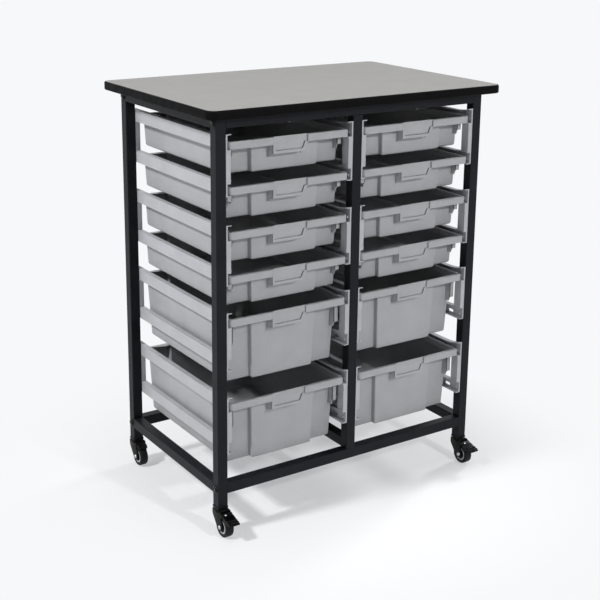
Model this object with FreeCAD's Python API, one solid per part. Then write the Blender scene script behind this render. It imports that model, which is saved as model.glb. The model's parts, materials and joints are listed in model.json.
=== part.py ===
"""Mobile bin storage unit, in millimetres.

A square-tube frame on four swivel casters carries a worktop and two bays of pull-out bins.
X runs along the front from left to right, Y from front to back, Z up from the floor.
"""
import FreeCAD, Part
import math
import os

os.makedirs("parts", exist_ok=True)

# Frame tube and the room it leaves
tube = 25.0
tube_wall = 1.5
tube_corner = 2.0
bay_width = 330.0
frame_depth = 457.0
frame_height = 895.0
leg_below_rail = 31.0
rail_end_plate = 5.0

# Worktop
worktop_thickness = 20.0
overhang_side = 29.5
overhang_front = 31.5
edging_width = 4.0
worktop_corner = 18.0
edging_round = 3.5

# Casters, from the floor up
wheel_diameter = 50.0
wheel_width = 20.0
tyre_depth = 8.0
wheel_gap = 4.5
stem_head = 2.0
stem_head_gap = 0.3
crown_thickness = 5.7
stem_shoulder = 1.5
socket_flange = 4.0
socket_plug = 28.0
caster_trail = 20.0
stem_radius = 5.0
axle_radius = 3.0
cheek_thickness = 2.5
cheek_gap = 1.5
crown_radius = 15.5
fork_edge = 2.0
fork_foot = 9.0
fork_bend = 8.0
stem_shoulder_width = 4.0
stem_head_width = 2.5
stem_end_gap = 4.0
socket_lip = 1.25
socket_fit = 0.1
axle_head_width = 2.0
axle_head_height = 3.5
hub_boss_wall = 4.0
hub_rim_width = 4.0
hub_web_half = 6.0
tyre_ease = 1.0
running_clearance = 0.05
side_clearance = 0.3

# Brake pedal of a front caster
pedal_reach = 64.0
pedal_pivot_out = 6.5
pedal_pivot_up = 4.5
pedal_pin_radius = 2.0
pedal_pin_end = 0.8
pedal_rise = 5.0
pedal_fall = 7.0
pedal_thickness = 4.0
pedal_throat = 2.5
pedal_ear = 4.0
pedal_ridge = 1.6
rivet_offset = 4.0
rivet_radius = 2.6
rivet_height = 1.6

# Runners
runner_levels = 4
rail_height = 28.0
rail_flange = 2.0
rail_web = 3.5
rail_reach = 13.0
rail_edge = 0.5
post_reach = 11.5
runner_setback = 1.0
flare_length = 60.0
flare_rise = 8.5
flare_round = 190.0
top_gap = 21.5
lowest_gap = 70.0
stop_gap = 0.5
stop_thickness = 4.0
slot_length = 20.0
slot_height = 8.0
slot_inset = 20.0
screw_rise = 10.4

# Bins
rim_side_gap = 9.0
rim_front_setback = 3.0
rim_rear_gap = 27.0
rim_height = 17.0
rim_corner = 8.0
bin_wall = 2.2
bin_draft = 0.045
bin_gap_shallow = 22.2
bin_gap_deep = 37.4
body_clearance = 2.0
bin_corner = 8.0
front_round = 3.0
bin_foot_ease = 5.0
front_ledge = 22.5
panel_width = 178.0
panel_step = 13.0
panel_corner = 3.0
panel_fold = 2.0
rear_ledge = 10.0
rear_width = 183.0
rear_step = 12.0
handle_left = 45.0
handle_right = 42.0
handle_recess = 2.5
handle_drop = 37.5
handle_rise = 1.0
handle_slit = 2.5
handle_slant = 8.0
handle_corner = 1.0
handle_round = 6.0
cheek_drop = 8.5
rib_inset = 12.0
rib_foot = 5.0
rib_step = 11.0
gusset_setback = 20.5
gusset_inset = 1.5
gusset_drop_shallow = 18.5
gusset_drop_deep = 46.5

# Fasteners
bolt_radius = 4.0
bolt_head_radius = 8.5
bolt_head_height = 4.5
bolt_key = 5.0
bolt_key_depth = 2.5
bolt_end = 4.0
bolt_hole = 0.3
screw_radius = 2.0
screw_head_radius = 3.75
screw_head_height = 2.0
screw_head_round = 0.8
screw_end = 4.0
screw_hole = 0.15
worktop_screw_radius = 2.5
worktop_screw_grip = 14.0
worktop_screw_head = 2.0
worktop_screw_head_height = 3.0

# Sizes that follow from the ones above
frame_width = 3 * tube + 2 * bay_width
half_width = frame_width / 2
half_depth = frame_depth / 2
post_x = half_width - tube / 2
post_y = half_depth - tube / 2
bay_centre = tube / 2 + bay_width / 2
wheel_radius = wheel_diameter / 2
head_bottom = wheel_diameter + wheel_gap
crown_bottom = head_bottom + stem_head + stem_head_gap
crown_top = crown_bottom + crown_thickness
socket_bottom = crown_top + stem_shoulder
leg_bottom = socket_bottom + socket_flange
frame_top = leg_bottom + frame_height
low_rail = leg_bottom + leg_below_rail
high_rail = frame_top - tube
rear_reach = half_depth + overhang_front + edging_width
front_reach = max(rear_reach, post_y + pedal_reach)
middle_y = (front_reach - rear_reach) / 2

rail_count = 2 * runner_levels
first_rail = high_rail - top_gap - rail_height
rail_pitch = (first_rail - low_rail - tube - lowest_gap) / (rail_count - 1)
runner_front = -half_depth + runner_setback
runner_rear = half_depth - runner_setback
bay_half = bay_width / 2

rim_half = bay_half - rim_side_gap
body_half = bay_half - rail_reach - body_clearance
rim_front = -half_depth + rim_front_setback
bin_length = frame_depth - rim_front_setback - rim_rear_gap
shallow_height = rail_pitch - bin_gap_shallow
deep_height = 2 * rail_pitch - bin_gap_deep
panel_half = panel_width / 2
rear_half = rear_width / 2
rib_place = body_half - rib_inset

corners = {
    "front_left": (-1, -1),
    "front_right": (1, -1),
    "rear_left": (-1, 1),
    "rear_right": (1, 1),
}


def rounded_wire(points, radii, level=0.0):
    """Closed outline through flat points at one level, each corner rounded by its own radius."""
    count = len(points)
    if not isinstance(radii, (list, tuple)):
        radii = [radii] * count
    starts = []
    ends = []
    middles = []
    for index in range(count):
        corner = FreeCAD.Vector(points[index][0], points[index][1], level)
        before = FreeCAD.Vector(points[index - 1][0], points[index - 1][1], level)
        after = FreeCAD.Vector(points[(index + 1) % count][0], points[(index + 1) % count][1], level)
        to_before = (before - corner).normalize()
        to_after = (after - corner).normalize()
        half_angle = to_before.getAngle(to_after) / 2
        cut = radii[index] / math.tan(half_angle)
        starts.append(corner + to_before * cut)
        ends.append(corner + to_after * cut)
        bisector = (to_before + to_after).normalize()
        middles.append(corner + bisector * (radii[index] / math.sin(half_angle) - radii[index]))
    edges = []
    for index in range(count):
        if radii[index] > 0:
            edges.append(Part.Arc(starts[index], middles[index], ends[index]).toShape())
        edges.append(Part.makeLine(ends[index], starts[(index + 1) % count]))
    return Part.Wire(edges)


def along_z(points, radii, low, high):
    """Outline in X and Y carried from one height to another."""
    face = Part.Face(rounded_wire(points, radii, low))
    return face.extrude(FreeCAD.Vector(0, 0, high - low))


def along_x(points, radii, low, high):
    """Outline in Y and Z carried along X."""
    solid = along_z(points, radii, low, high)
    solid.rotate(FreeCAD.Vector(), FreeCAD.Vector(1, 1, 1), 120)
    return solid


def along_y(points, radii, low, high):
    """Outline in X and Z carried along Y."""
    solid = along_z(points, radii, -high, -low)
    solid.rotate(FreeCAD.Vector(), FreeCAD.Vector(1, 0, 0), 90)
    return solid


carry = {"x": along_x, "y": along_y, "z": along_z}


def box_points(low_u, high_u, low_v, high_v):
    return [(low_u, low_v), (high_u, low_v), (high_u, high_v), (low_u, high_v)]


def square(side, u=0.0, v=0.0):
    return box_points(u - side / 2, u + side / 2, v - side / 2, v + side / 2)


def rod(axis, radius, low, high, u, v):
    """Round bar along one axis, at the two other coordinates in their order x, y, z."""
    if axis == "x":
        return Part.makeCylinder(radius, high - low, FreeCAD.Vector(low, u, v), FreeCAD.Vector(1, 0, 0))
    if axis == "y":
        return Part.makeCylinder(radius, high - low, FreeCAD.Vector(u, low, v), FreeCAD.Vector(0, 1, 0))
    return Part.makeCylinder(radius, high - low, FreeCAD.Vector(u, v, low), FreeCAD.Vector(0, 0, 1))


def square_tube(axis, low, high, u, v):
    """Hollow square tube along one axis, centred on the two other coordinates."""
    outer = carry[axis](square(tube, u, v), tube_corner, low, high)
    inner_corner = max(tube_corner - tube_wall, 0.2)
    inner = carry[axis](square(tube - 2 * tube_wall, u, v), inner_corner, low, high)
    return outer.cut(inner)


def joined(shapes):
    """One solid out of several that meet."""
    whole = shapes[0].fuse(shapes[1:]) if len(shapes) > 1 else shapes[0]
    return whole.removeSplitter()


def without(shape, cutters):
    return shape.cut(Part.makeCompound(cutters))


def save(node, solids):
    """Write one node, moved so that the whole unit is centred front to back over the origin."""
    shape = Part.makeCompound(solids) if len(solids) > 1 else solids[0]
    shape.translate(FreeCAD.Vector(0, middle_y, 0))
    shape.exportStep("parts/%s.step" % node)


def turned(points, axis_point, axis_direction):
    """Solid of revolution from a flat outline of points."""
    wire = Part.makePolygon([FreeCAD.Vector(*p) for p in points + points[:1]])
    return Part.Face(wire).revolve(axis_point, axis_direction, 360)


def rail_bottom(index):
    return first_rail - index * rail_pitch


# Frame: uprights with their bolt and screw holes
screw_heights = [rail_bottom(index) + screw_rise for index in range(rail_count)]
bolt_heights = [low_rail + tube / 2, high_rail + tube / 2]

for depth_name, y_side in (("front", -1), ("rear", 1)):
    for place_name, x_side in (("left", -1), ("middle", 0), ("right", 1)):
        x = x_side * post_x
        y = y_side * post_y
        low = leg_bottom if x_side else low_rail + tube
        high = frame_top if x_side else high_rail
        post = square_tube("z", low, high, x, y)
        cutters = []
        for inner_side in (-1, 1):
            if inner_side == x_side:
                continue
            face = x + inner_side * tube / 2
            for height in screw_heights:
                cutters.append(rod("x", screw_radius + screw_hole, face - 2, face + 2, y, height))
        if x_side:
            for height in bolt_heights:
                cutters.append(rod("x", bolt_radius + bolt_hole, x - tube, x + tube, y, height))
        save("upright_%s_%s" % (depth_name, place_name), [without(post, cutters)])

# Frame: long rails with bolted end plates, short rails welded between the uprights
rail_end = half_width - tube
worktop_screw_places = [(sx * bay_centre, sy * post_y) for sx in (-1, 1) for sy in (-1, 1)]
worktop_screw_places += [(sx * post_x, 0.0) for sx in (-1, 1)]
worktop_screw_cuts = []
for x, y in worktop_screw_places:
    worktop_screw_cuts.append(rod("z", worktop_screw_radius + bolt_hole, high_rail - 1, frame_top + 1, x, y))

for level_name, bottom in (("bottom", low_rail), ("top", high_rail)):
    z = bottom + tube / 2
    for depth_name, y_side in (("front", -1), ("rear", 1)):
        y = y_side * post_y
        pieces = [square_tube("x", -rail_end, rail_end, y, z)]
        for low in (-rail_end, rail_end - rail_end_plate):
            plate_side = tube - tube_wall
            pieces.append(along_x(square(plate_side, y, z), 0.5, low, low + rail_end_plate))
        rail = joined(pieces)
        cutters = [rod("x", bolt_radius + bolt_hole, -half_width, half_width, y, z)]
        if level_name == "top":
            cutters += worktop_screw_cuts
        save("rail_%s_%s" % (depth_name, level_name), [without(rail, cutters)])
    for place_name, x_side in (("left", -1), ("middle", 0), ("right", 1)):
        # The middle one at the bottom lies between the uprights, just above the long rails
        lift = tube if level_name == "bottom" and not x_side else 0.0
        rail = square_tube("y", -half_depth + tube, half_depth - tube, x_side * post_x, z + lift)
        if level_name == "top" and x_side:
            rail = without(rail, worktop_screw_cuts)
        save("side_rail_%s_%s" % (place_name, level_name), [rail])

# Worktop: panel with blind screw holes, and its edging
panel_x = half_width + overhang_side
panel_y = half_depth + overhang_front
worktop_top = frame_top + worktop_thickness
panel_outline = box_points(-panel_x, panel_x, -panel_y, panel_y)
panel = along_z(panel_outline, worktop_corner, frame_top, worktop_top)
blind_holes = []
for x, y in worktop_screw_places:
    depth = worktop_screw_grip + 0.5
    blind_holes.append(rod("z", worktop_screw_radius + screw_hole, frame_top - 1, frame_top + depth, x, y))
save("worktop_panel", [without(panel, blind_holes)])

edge_x = panel_x + edging_width
edge_y = panel_y + edging_width
edge_outline = box_points(-edge_x, edge_x, -edge_y, edge_y)
edge_block = along_z(edge_outline, worktop_corner + edging_width, frame_top, worktop_top)
edge_loops = []
for edge in edge_block.Edges:
    heights = [vertex.Point.z for vertex in edge.Vertexes]
    if max(heights) - min(heights) < 0.01:
        edge_loops.append(edge)
edge_block = edge_block.makeFillet(edging_round, edge_loops)
save("worktop_edging", [edge_block.cut(panel)])

# Runners: two channels joined by a post at each end
def channel(bottom):
    """C-shaped rail on the right of a bay that is centred on X = 0.

    It has a stop at its rear end; at its front end are a slot and an upper flange flared up as a lead-in.
    """
    tip = bay_half - rail_reach
    web = bay_half - rail_web
    top = bottom + rail_height
    points = [(tip, bottom), (bay_half, bottom), (bay_half, top), (tip, top)]
    points += [(tip, top - rail_flange), (web, top - rail_flange)]
    points += [(web, bottom + rail_flange), (tip, bottom + rail_flange)]
    inner = 2 * rail_edge
    radii = [rail_edge, 0, 0, rail_edge, rail_edge, inner, inner, rail_edge]
    rail = along_y(points, radii, runner_front, runner_rear)
    stop_face = rim_front + bin_length + stop_gap
    stop_points = box_points(tip + inner, web, bottom + rail_flange, top - rail_flange)
    stop = along_y(stop_points, 0, stop_face, stop_face + stop_thickness)
    cutters = []
    height = bottom + screw_rise
    for side in (-1, 1):
        cutters.append(rod("x", screw_radius + screw_hole, web - 1, bay_half + 1, side * post_y, height))
    slot_y = slot_inset - half_depth + tube
    slot = box_points(slot_y - slot_length / 2, slot_y + slot_length / 2,
                      height - slot_height / 2, height + slot_height / 2)
    cutters.append(along_x(slot, slot_height / 2 - 0.01, web - 1, bay_half + 1))
    bend = runner_front + flare_length / 2
    flare_end = runner_front + flare_length
    cutters.append(along_x(box_points(runner_front - 1, bend, top - rail_flange, top + 1), 0, tip - 1, web))
    upper = [(runner_front, top + flare_rise), (bend, top), (flare_end, top)]
    lower = [(y, z - rail_flange) for y, z in reversed(upper)]
    flare = along_x(upper + lower, [0, flare_round, 0, 0, flare_round, 0], tip, bay_half)
    backing = upper + [(flare_end, top - rail_flange), (runner_front, top - rail_flange)]
    backing = along_x(backing, [0, flare_round, 0, 0, 0], web, bay_half)
    return [without(rail, cutters), stop, flare, backing]


def runner(upper):
    """Runner on the right of a bay, hung on the upper of its two rail places."""
    pieces = channel(rail_bottom(upper)) + channel(rail_bottom(upper + 1))
    low = rail_bottom(upper + 1) + rail_height
    high = rail_bottom(upper)
    for front in (runner_front, runner_rear - tube + runner_setback):
        points = box_points(bay_half - post_reach, bay_half, low, high)
        pieces.append(along_y(points, 0, front, front + tube - runner_setback))
    return joined(pieces)


def runner_screw(index, y_side):
    """Pan-head screw through the web of one rail into the upright, on the right of a bay."""
    web = bay_half - rail_web
    height = rail_bottom(index) + screw_rise
    y = y_side * post_y
    shank_end = bay_half + tube_wall + screw_end
    head_top = web - screw_head_height
    head = rod("x", screw_head_radius, head_top, web, y, height)
    rim = [edge for edge in head.Edges if abs(edge.CenterOfMass.x - head_top) < 0.01]
    head = head.makeFillet(screw_head_round, rim)
    shank = rod("x", screw_radius, web - screw_head_height / 2, shank_end, y, height)
    return joined([head, shank])


def both_bays(shape):
    """The right-hand piece of a bay, its mirror image, and the same in the other bay."""
    pair = [shape, shape.mirror(FreeCAD.Vector(), FreeCAD.Vector(1, 0, 0))]
    placed = []
    for side in (-1, 1):
        for piece in pair:
            copy = piece.copy()
            copy.translate(FreeCAD.Vector(side * bay_centre, 0, 0))
            placed.append(copy)
    return placed


for level in range(rail_count // 2):
    save("runners_level_%d" % (level + 1), both_bays(runner(2 * level)))

screws = []
for index in range(rail_count):
    for y_side in (-1, 1):
        screws += both_bays(runner_screw(index, y_side))
save("runner_screws", screws)

# Bins: a drawn tub hung from a turned-down rim, with a ledge and a handle plate at the front
def body_outline(inset, wall):
    """Outline of the tub: the front has a proud middle panel, the rear a middle panel set in."""
    side = body_half - inset - wall
    front = front_ledge + inset + wall
    front_corner = front_ledge + panel_step + inset + wall
    rear_corner = bin_length - rear_ledge - inset - wall
    rear = rear_corner - rear_step
    panel = panel_half - inset - wall
    notch = rear_half + wall
    points = [(-panel, front), (panel, front), (panel, front_corner), (side, front_corner)]
    points += [(side, rear_corner), (notch, rear_corner), (notch, rear), (-notch, rear)]
    points += [(-notch, rear_corner), (-side, rear_corner), (-side, front_corner), (-panel, front_corner)]
    return points


def tub(height, wall, top):
    """Drafted tub with an eased lower edge, from its floor up to a level."""
    foot = -height + wall
    ease = bin_foot_ease
    half_ease = (1 - math.sqrt(0.5)) * ease
    right = [panel_corner, panel_fold, front_round, bin_corner, panel_corner, panel_fold]
    radii = [panel_corner] + right + right[:0:-1]
    sections = []
    for level, extra in ((foot, ease), (foot + half_ease, half_ease), (foot + ease, 0.0), (top, 0.0)):
        inset = -bin_draft * level + extra
        sections.append(rounded_wire(body_outline(inset, wall), radii, level))
    return Part.makeLoft(sections, True, True)


def bin_shape(height, gusset_drop):
    """One bin, its rim front at Y = 0 and its rim top at Z = 0."""
    rim_points = box_points(-rim_half, rim_half, 0, bin_length)
    lip = bin_wall
    half_wall = bin_wall / 2
    inner_rim = box_points(-rim_half + lip, rim_half - lip, lip, bin_length - lip)
    band = along_z(rim_points, rim_corner, -rim_height, 0)
    band = band.cut(along_z(inner_rim, rim_corner - lip, -rim_height, -bin_wall))
    handle_gap = box_points(-handle_left, handle_right + handle_slit, -1, handle_recess)
    band = band.cut(along_z(handle_gap, 0, -rim_height - 1, 1))
    plate_points = [(-handle_left, handle_rise), (handle_right, handle_rise), (handle_right, -rim_height)]
    plate_points += [(handle_right - handle_slant, -handle_drop), (-handle_left, -handle_drop)]
    plate_radii = [handle_corner, handle_corner, 2 * handle_corner, handle_round, handle_corner]
    plate = along_y(plate_points, plate_radii, handle_recess, handle_recess + bin_wall)
    pieces = [band, plate, tub(height, 0.0, -half_wall)]
    cheek_foot = handle_drop + cheek_drop
    panel_line = front_ledge + half_wall
    panel_inside = panel_line + bin_draft * cheek_foot
    for x, drop in ((half_wall - handle_left, handle_drop), (handle_right - half_wall, rim_height)):
        cheek = [(handle_recess, -half_wall), (handle_recess, -drop), (panel_line, -cheek_foot)]
        cheek += [(panel_inside, -cheek_foot), (panel_line, -half_wall)]
        pieces.append(along_x(cheek, 0, x - half_wall, x + half_wall))
    gusset_low = rim_height + gusset_drop
    rib_low = gusset_low + rib_step
    corner_line = front_ledge + panel_step + half_wall
    corner_inside = corner_line + bin_draft * rib_low
    rib = [(gusset_setback, -half_wall), (gusset_setback, -gusset_low), (gusset_setback + rib_foot, -rib_low)]
    rib += [(corner_inside, -rib_low), (corner_line, -half_wall)]
    for side in (-1, 1):
        x = side * rib_place
        pieces.append(along_x(rib, 0, x - half_wall, x + half_wall))
        ends = sorted((x - side * half_wall, side * (body_half - gusset_inset)))
        gusset = box_points(*ends, -gusset_low, -half_wall)
        pieces.append(along_y(gusset, 0, gusset_setback, gusset_setback + bin_wall))
    return joined(pieces).cut(tub(height, bin_wall, handle_rise + bin_wall))


shallow_bin = bin_shape(shallow_height, gusset_drop_shallow)
deep_bin = bin_shape(deep_height, gusset_drop_deep)
shallow_rails = [0, 1, 2, 3]
deep_rails = [4, 6]
for bay_name, bay_side in (("left", -1), ("right", 1)):
    for row, rail in enumerate(shallow_rails + deep_rails):
        placed = (deep_bin if rail in deep_rails else shallow_bin).copy()
        rim_top = rail_bottom(rail) + rail_flange + rim_height
        placed.translate(FreeCAD.Vector(bay_side * bay_centre, rim_front, rim_top))
        save("bin_%s_%d" % (bay_name, row + 1), [placed])

# Leg sockets and caster stems
socket_side = tube - 2 * tube_wall - 2 * socket_fit
socket_corner = tube_corner + socket_lip
socket_top = leg_bottom + socket_plug
socket = along_z(square(tube + 2 * socket_lip), socket_corner, socket_bottom, leg_bottom)
plug = along_z(square(socket_side), tube_corner / 2, leg_bottom - socket_flange / 2, socket_top)
stem_bore = stem_radius + running_clearance
socket = joined([socket, plug]).cut(rod("z", stem_bore, socket_bottom - 1, socket_top + 1, 0, 0))
stem = joined([
    rod("z", stem_radius, head_bottom, socket_top - stem_end_gap, 0, 0),
    rod("z", stem_radius + stem_shoulder_width, crown_top, socket_bottom, 0, 0),
    rod("z", stem_radius + stem_head_width, head_bottom, head_bottom + stem_head, 0, 0),
])


def at_corners(shape):
    placed = []
    for sx, sy in corners.values():
        copy = shape.copy()
        copy.translate(FreeCAD.Vector(sx * post_x, sy * post_y, 0))
        placed.append(copy)
    return placed


save("leg_sockets", at_corners(socket))
save("caster_stems", at_corners(stem))

# Caster fork: a round crown under the socket and two cheeks that trail to the front
cheek_in = wheel_width / 2 + cheek_gap
cheek_out = cheek_in + cheek_thickness
pivot_y = -caster_trail - pedal_pivot_out
pivot_z = wheel_diameter + pedal_pivot_up
axle_y = -caster_trail
axle_z = wheel_radius


def fork(has_pedal):
    """Fork with its stem axis on Z; the braked fork has ears with holes for the pedal pins."""
    shapes = [rod("z", crown_radius, crown_bottom, crown_top, 0, 0)]
    cheek_front = axle_y - fork_edge
    cheek_rear = crown_radius - fork_edge
    cheek_top = crown_top - fork_edge / 2
    foot = fork_foot
    outline = [(cheek_rear, cheek_top), (cheek_rear, crown_bottom - foot), (axle_y + foot, axle_z - foot)]
    outline += [(axle_y - foot, axle_z - foot), (axle_y - foot, axle_z + foot)]
    outline += [(cheek_front, crown_bottom - foot / 2), (cheek_front, cheek_top)]
    rounds = [fork_edge, fork_bend, 0.9 * fork_bend, fork_bend, fork_bend / 2, fork_bend / 4, fork_edge]
    for side in (-1, 1):
        low = min(side * cheek_in, side * cheek_out)
        shapes.append(along_x(outline, rounds, low, low + cheek_thickness))
        if has_pedal:
            ear_front = pivot_y - pedal_ear
            ear = box_points(ear_front, cheek_front + pedal_ear, pivot_z - pedal_ear, pivot_z + pedal_ear)
            shapes.append(along_x(ear, 0.9 * pedal_ear, low, low + cheek_thickness))
    bridge_front = pivot_y + pedal_rise + pedal_ear
    bridge = box_points(-cheek_out, cheek_out, bridge_front, cheek_rear - fork_edge)
    shapes.append(along_z(bridge, fork_edge, crown_bottom, cheek_top))
    whole = joined(shapes)
    cutters = [rod("z", stem_radius + running_clearance, crown_bottom - 1, crown_top + 1, 0, 0)]
    cutters.append(rod("x", axle_radius + running_clearance, -cheek_out - 1, cheek_out + 1, axle_y, axle_z))
    if has_pedal:
        pin_hole = pedal_pin_radius + running_clearance
        cutters.append(rod("x", pin_hole, -cheek_out - 1, cheek_out + 1, pivot_y, pivot_z))
    return without(whole, cutters)


def domed_head(radius, height):
    """Low domed head that stands on the plane Z = 0."""
    head = Part.makeCylinder(radius, height)
    top = [edge for edge in head.Edges if abs(edge.CenterOfMass.z - height) < 0.01 and edge.Closed]
    return head.makeFillet(height * 0.75, top)


def axle():
    bar_end = cheek_out + axle_head_height / 4
    pieces = [rod("x", axle_radius, -bar_end, bar_end, axle_y, axle_z)]
    for side in (-1, 1):
        head = domed_head(axle_radius + axle_head_width, axle_head_height)
        head.rotate(FreeCAD.Vector(), FreeCAD.Vector(0, 1, 0), 90 * side)
        head.translate(FreeCAD.Vector(side * cheek_out, axle_y, axle_z))
        pieces.append(head)
    return joined(pieces)


def wheel_piece(profile):
    """Turn a profile of (distance along the axle, radius) round the axle."""
    centre = FreeCAD.Vector(0, axle_y, axle_z)
    points = [(along, axle_y, axle_z + radius) for along, radius in profile]
    return turned(points, centre, FreeCAD.Vector(1, 0, 0))


def mirrored_profile(half):
    """Full profile out of its half at positive distance, listed from the inside out."""
    return half + [(-along, radius) for along, radius in reversed(half)]


hub_radius = wheel_radius - tyre_depth
hub_boss = cheek_in - side_clearance
hub_side = wheel_width / 2 - tyre_ease
boss_radius = axle_radius + hub_boss_wall
hub_half = [(hub_boss, axle_radius + running_clearance), (hub_boss, boss_radius)]
hub_half += [(hub_web_half, boss_radius + tyre_ease), (hub_web_half, hub_radius - hub_rim_width - tyre_ease)]
hub_half += [(hub_side, hub_radius - hub_rim_width), (hub_side, hub_radius)]
tyre_half = [(hub_side, hub_radius), (wheel_width / 2, hub_radius + tyre_ease)]
tyre_half += [(wheel_width / 2, wheel_radius - 3 * tyre_ease), (hub_side, wheel_radius - tyre_ease)]
tyre_half += [(wheel_width / 2 - 4 * tyre_ease, wheel_radius)]
hub = wheel_piece(mirrored_profile(hub_half))
tyre = wheel_piece(mirrored_profile(tyre_half))


def pedal():
    """Brake pedal at its pressed place, with a pin on each side in the ears of the fork."""
    tip = -pedal_reach
    slope_start = (pivot_y + pedal_rise, pivot_z + pedal_rise)
    top_end = pivot_z - pedal_fall
    underside = top_end - pedal_thickness
    wheel_top = pivot_z - pedal_pivot_up
    throat = (pivot_y + pedal_throat, wheel_top + pedal_throat / 2)
    knee = (pivot_y - pedal_pivot_out, wheel_top - pedal_throat / 2)
    outline = [slope_start, (tip, top_end), (tip, underside), (knee[0] - pedal_fall, underside), knee, throat]
    rounds = [pedal_pin_radius] + [pedal_thickness / 4] * 4 + [pedal_pin_radius]
    half = cheek_out
    narrow = cheek_in - side_clearance
    ear_room = pivot_y - 1.5 * pedal_ear
    body = along_x(outline, rounds, -half, half)
    for side in (-1, 1):
        low = min(side * narrow, side * (half + 1))
        notch = box_points(ear_room, slope_start[0] + 1, underside - 1, slope_start[1] + 1)
        body = body.cut(along_x(notch, 0, low, low + half + 1 - narrow))
    fall = (slope_start[1] - top_end) / (slope_start[0] - tip)
    pin_end = cheek_out + pedal_pin_end
    pieces = [body, rod("x", pedal_pin_radius, -pin_end, pin_end, pivot_y, pivot_z)]
    for share in (0.72, 0.88):
        y = slope_start[0] + share * (tip - slope_start[0])
        z = slope_start[1] - fall * (slope_start[0] - y)
        pieces.append(rod("x", pedal_ridge, -narrow - 1, narrow + 1, y, z))
    rivet_y = pivot_y - rivet_offset
    rivet_z = slope_start[1] - fall * (slope_start[0] - rivet_y)
    rivet = domed_head(rivet_radius, rivet_height)
    rivet.rotate(FreeCAD.Vector(), FreeCAD.Vector(1, 0, 0), math.degrees(math.atan(fall)))
    rivet.translate(FreeCAD.Vector(-rivet_offset, rivet_y, rivet_z))
    return joined(pieces), rivet


pedal_body, pedal_rivet = pedal()
for name, (sx, sy) in corners.items():
    braked = sy < 0
    pieces = {
        "caster_fork": fork(braked),
        "caster_axle": axle(),
        "wheel_hub": hub.copy(),
        "wheel_tyre": tyre.copy(),
    }
    if braked:
        pieces["brake_pedal"] = pedal_body.copy()
        pieces["brake_rivet"] = pedal_rivet.copy()
    for kind, shape in pieces.items():
        shape.translate(FreeCAD.Vector(sx * post_x, sy * post_y, 0))
        save("%s_%s" % (kind, name), [shape])

# Bolts through the corner legs into the end plates of the long rails
def frame_bolt():
    """Button-head bolt along +X with its head's seat on X = 0."""
    head = domed_head(bolt_head_radius, bolt_head_height)
    reach = bolt_key / math.sqrt(3)
    angles = [math.radians(60 * corner) for corner in range(6)]
    hexagon = [(reach * math.cos(angle), reach * math.sin(angle)) for angle in angles]
    head = head.cut(along_z(hexagon, 0, bolt_head_height - bolt_key_depth, bolt_head_height + 1))
    head.rotate(FreeCAD.Vector(), FreeCAD.Vector(0, 1, 0), -90)
    shank_start = (bolt_key_depth - bolt_head_height) / 2
    return joined([head, rod("x", bolt_radius, shank_start, tube + rail_end_plate + bolt_end, 0, 0)])


bolts = []
for sx, sy in corners.values():
    for height in bolt_heights:
        bolt = frame_bolt()
        if sx > 0:
            bolt = bolt.mirror(FreeCAD.Vector(), FreeCAD.Vector(1, 0, 0))
        bolt.translate(FreeCAD.Vector(sx * half_width, sy * post_y, height))
        bolts.append(bolt)
save("frame_bolts", bolts)

# Screws up through the top rails into the worktop
top_screws = []
for x, y in worktop_screw_places:
    head = domed_head(worktop_screw_radius + worktop_screw_head, worktop_screw_head_height)
    head.rotate(FreeCAD.Vector(), FreeCAD.Vector(1, 0, 0), 180)
    head.translate(FreeCAD.Vector(x, y, high_rail))
    shank_low = high_rail - worktop_screw_head_height / 4
    shank = rod("z", worktop_screw_radius, shank_low, frame_top + worktop_screw_grip, x, y)
    top_screws.append(joined([head, shank]))
save("worktop_screws", top_screws)
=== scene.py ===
"""Looks of the mobile bin storage unit, in metres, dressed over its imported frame."""
import json
import bpy
import numpy as np
from mathutils import Matrix, Vector


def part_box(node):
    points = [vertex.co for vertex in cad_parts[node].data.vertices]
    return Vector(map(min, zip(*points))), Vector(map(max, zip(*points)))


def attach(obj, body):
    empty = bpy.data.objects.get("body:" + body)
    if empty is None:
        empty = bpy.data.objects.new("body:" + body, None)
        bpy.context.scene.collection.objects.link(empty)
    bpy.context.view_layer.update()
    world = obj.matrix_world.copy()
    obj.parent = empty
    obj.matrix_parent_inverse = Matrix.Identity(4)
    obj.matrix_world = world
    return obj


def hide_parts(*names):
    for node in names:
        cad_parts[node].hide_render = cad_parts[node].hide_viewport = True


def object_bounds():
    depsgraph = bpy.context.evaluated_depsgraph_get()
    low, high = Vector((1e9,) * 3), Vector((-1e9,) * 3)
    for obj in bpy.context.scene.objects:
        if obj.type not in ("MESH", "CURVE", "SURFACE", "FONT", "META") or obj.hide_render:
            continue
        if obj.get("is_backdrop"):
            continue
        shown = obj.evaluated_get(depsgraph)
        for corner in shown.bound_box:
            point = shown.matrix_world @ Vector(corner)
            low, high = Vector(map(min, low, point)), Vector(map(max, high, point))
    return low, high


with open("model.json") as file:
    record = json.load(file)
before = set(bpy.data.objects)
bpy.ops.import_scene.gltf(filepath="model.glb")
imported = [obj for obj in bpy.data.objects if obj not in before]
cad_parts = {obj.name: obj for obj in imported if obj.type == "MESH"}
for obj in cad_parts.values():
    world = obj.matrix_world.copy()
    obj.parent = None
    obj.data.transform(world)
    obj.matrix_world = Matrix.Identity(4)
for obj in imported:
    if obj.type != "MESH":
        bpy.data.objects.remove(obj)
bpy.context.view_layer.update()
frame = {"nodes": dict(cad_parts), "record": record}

mm = 0.001
tiny = 1e-12

# Camera, fitted to the photograph's 600 by 600 frame; angles in degrees, lens and sensor in millimetres
camera_place = (-1.5787, -2.3607, 1.3821)
camera_turn = 33.65
camera_fall = 14.78
camera_roll = 0.63
camera_lens = 71.67
camera_sensor = 36.0
camera_shift = -0.125
camera_range = 200.0

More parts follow.
